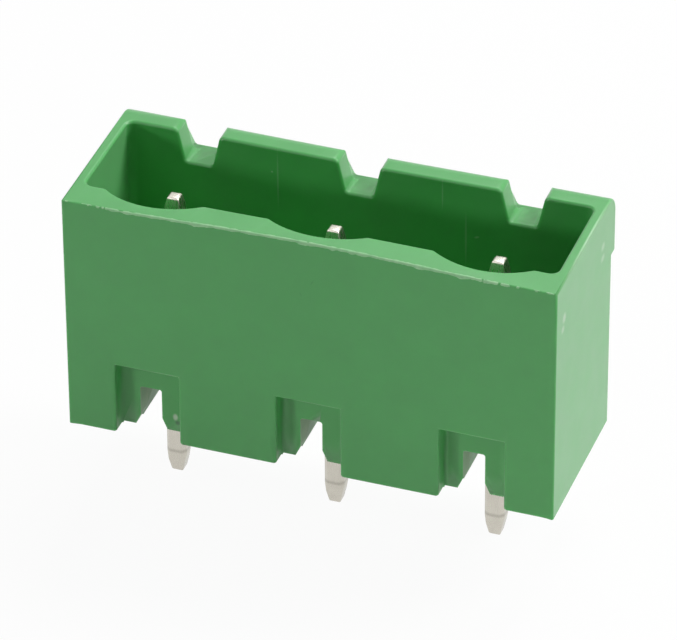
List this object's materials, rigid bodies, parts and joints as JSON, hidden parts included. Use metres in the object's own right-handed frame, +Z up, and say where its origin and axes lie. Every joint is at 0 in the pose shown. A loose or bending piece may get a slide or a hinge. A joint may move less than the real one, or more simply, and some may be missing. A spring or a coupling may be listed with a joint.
{
  "type": "pluggable terminal block header",
  "caption": "Upright board header of a pluggable terminal block: an open green moulded socket with closed ends, a notched latch wall and square solder pins through its floor.",
  "frame": {"origin": "on the board's surface under the housing, on the axis of the middle pin", "axes": "+X along the row of pins, towards the right as the windowed front wall is faced; +Y from the front wall to the latch wall; +Z up from the board, out of the socket's mouth"},
  "size_m": [0.0228, 0.0086, 0.0161],
  "materials": {
    "housing_green": "green glass-free polyamide, moulded, satin",
    "contact_tin": "copper alloy with satin tin plating"
  },
  "bodies": {
    "root": {"housing": "housing_green", "contact_pin_1": "contact_tin", "contact_pin_2": "contact_tin", "contact_pin_3": "contact_tin"}
  },
  "joints": []
}
